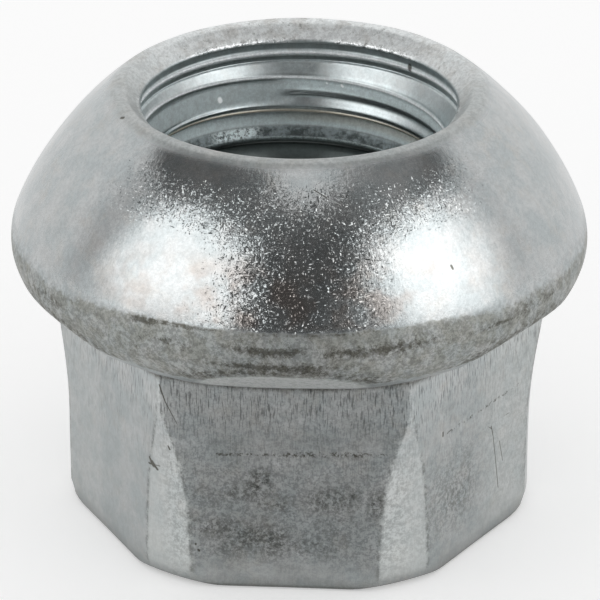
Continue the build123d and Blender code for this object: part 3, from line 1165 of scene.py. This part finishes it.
# The camera, its places in metres and its lens in millimetres.
CAMERA_SIDE = math.radians(3.7)
CAMERA_HEIGHT = math.radians(25.435)
CAMERA_DISTANCE = 0.2244
TARGET = Vector((0, 0, 0.009507))
LENS = 302.3
LENS_SHIFT = 0.00136

# The room and its floor, in metres: how bright they are as lamps and how much the floor glows when seen.
ROOM_LIGHT = 0.7
FLOOR_REACH = 2.0
FLOOR_GREY = (0.85, 0.85, 0.85, 1)
FLOOR_GLOW = 0.37

# What only reflections show, in millimetres: how bright the surround is at its darkest and in its two
# softboxes, and the sheet on the floor.
SURROUND_DISTANCE = 500
DUSK = 0.10
LEFT_BOX = 2.10
RIGHT_BOX = 2.50
FLAG_START = 11.5
FLAG_END = 160
FLAG_GREY = 0.50


def direction(side, height):
    """Unit vector towards the front, turned to the right of it and raised, both in radians."""
    return Vector((math.sin(side) * math.cos(height), -math.cos(side) * math.cos(height), math.sin(height)))


def add_camera():
    """A long lens at the height and side from which the nut is seen."""
    data = bpy.data.cameras.new("camera")
    data.sensor_width = 36
    data.lens = LENS
    data.shift_x = LENS_SHIFT
    data.clip_start = 0.01
    camera = bpy.data.objects.new("camera", data)
    bpy.context.scene.collection.objects.link(camera)
    back = direction(CAMERA_SIDE, CAMERA_HEIGHT)
    camera.location = TARGET + back * CAMERA_DISTANCE
    camera.rotation_euler = (-back).to_track_quat("-Z", "Y").to_euler()
    bpy.context.scene.camera = camera


def seen_directly(s):
    """1 for camera, glossy and transmission rays, which show the background itself."""
    path = s.node("ShaderNodeLightPath")
    seen = s.math("MAXIMUM", path.outputs["Is Camera Ray"], path.outputs["Is Glossy Ray"])
    return s.math("MAXIMUM", seen, path.outputs["Is Transmission Ray"])


def add_floor():
    """A pale floor that keeps the shadow, with a little of its own light where it is looked at."""
    corners = [(-1, -1), (1, -1), (1, 1), (-1, 1)]
    mesh = bpy.data.meshes.new("floor")
    mesh.from_pydata([(x * FLOOR_REACH, y * FLOOR_REACH, 0) for x, y in corners], [], [(0, 1, 2, 3)])
    floor = bpy.data.objects.new("floor", mesh)
    bpy.context.scene.collection.objects.link(floor)
    material = bpy.data.materials.new("floor")
    s = Shader(material)
    diffuse = s.node("ShaderNodeBsdfDiffuse", {"Color": FLOOR_GREY})
    glow = s.node("ShaderNodeEmission", {"Strength": s.math("MULTIPLY", seen_directly(s), FLOOR_GLOW)})
    s.output(s.node("ShaderNodeAddShader", {0: diffuse.outputs[0], 1: glow.outputs[0]}))
    mesh.materials.append(material)


def softbox(azimuth, height, sides, middle, droop, top):
    """A softbox's soft sides and its upper edge, which droops as a square away from its middle."""
    edge = height + droop * (azimuth - middle) ** 2
    return window(azimuth, *sides) * (1 - soft_step(edge, *top))


def surround_radiance(azimuth, height):
    """How bright the surround looks by azimuth to the camera's right and by height, both in degrees.

    Two softboxes stand in a dark surround, each a product of soft edges over a soft foot that lies
    lower at the sides. Dusk spreads from the right one, and the sky begins over both."""
    off = np.abs(azimuth)
    low = 1 - soft_step(height, 38, 46)
    glow = DUSK + (0.07 + 0.17 * soft_step(azimuth, 35, 60)) * soft_step(height, 46, 55)
    glow = glow + 0.12 * (1 - soft_step(height, 8, 14))
    glow = glow + 0.14 * window(azimuth, (4, 22), (26, 40)) * (1 - soft_step(height, 24, 38))
    glow = glow + 0.50 * low * (1 - soft_step(azimuth, -94, -70))
    glow = glow + 0.60 * low * soft_step(azimuth, 76, 100)
    glow = glow + (1 - glow) * low * soft_step(off, 98, 110)
    out = soft_step(off, 50, 80)
    foot = soft_step(height, -5 - 12 * out, 27 - 4 * out)
    left = softbox(azimuth, height, ((-98, -70), (-33, -18)), -47, 0.007, (47.2, 53.2))
    right = softbox(azimuth, height, ((22, 50), (68, 106)), 59, 0.009, (43, 52))
    glow = glow + (LEFT_BOX - glow) * left * foot
    glow = glow + (RIGHT_BOX - glow) * right * foot
    sky = soft_step(height - np.where(azimuth < 0, 9, 6) * soft_step(off, 8, 40), 63, 67)
    return glow + (1 - glow) * sky


def add_surround():
    """The curved surround that the nut's upper side mirrors, seen in reflections only."""
    azimuth, height = np.meshgrid(np.linspace(-115, 115, 116), np.linspace(3, 74, 72))
    turn, rise = np.radians(azimuth) + CAMERA_SIDE, np.radians(height)
    x = SURROUND_DISTANCE * np.sin(turn) * np.cos(rise)
    y = -SURROUND_DISTANCE * np.cos(turn) * np.cos(rise)
    z = SURROUND_DISTANCE * np.sin(rise) + TARGET.z / MM
    reflected_only("surround", np.stack([x, y, z], -1), surround_radiance(azimuth, height))


def add_floor_flag():
    """A dark sheet on the floor before the nut, which widens away from it, seen in reflections only."""
    across, reach = np.meshgrid(np.linspace(-1, 1, 13), np.linspace(FLAG_START, FLAG_END, 9))
    x = across * (4.5 + 0.34 * (reach - FLAG_START))
    reflected_only("floor_flag", np.stack([x, -reach, 0.02 + 0 * x], -1), np.full(x.shape, FLAG_GREY))


def reflected_only(name, grid, radiance):
    """A stage card over a grid of points that only reflections show, as bright as the radiance there."""
    ids = np.arange(radiance.size).reshape(radiance.shape)
    card = add_mesh(name, grid.reshape(-1, 3), grid_faces(ids))
    set_attribute(card, "radiance", radiance.ravel())
    material = bpy.data.materials.new(name)
    s = Shader(material)
    s.output(s.node("ShaderNodeEmission", {"Strength": s.attribute("radiance")}))
    card.data.materials.append(material)
    card.visible_camera = False
    card.visible_diffuse = False
    card.visible_shadow = False


def add_world():
    """A white room: light at a plain level, and white where it is looked at."""
    world = bpy.data.worlds.new("studio")
    bpy.context.scene.world = world
    s = Shader(world)
    strength = s.math("MULTIPLY_ADD", seen_directly(s), 1 - ROOM_LIGHT, ROOM_LIGHT)
    room = s.node("ShaderNodeBackground", {"Color": (1, 1, 1, 1), "Strength": strength})
    s.node("ShaderNodeOutputWorld", {"Surface": room.outputs[0]})


bpy.context.scene.view_settings.view_transform = "Standard"
dress_nut()
add_camera()
add_floor()
add_world()
add_surround()
add_floor_flag()
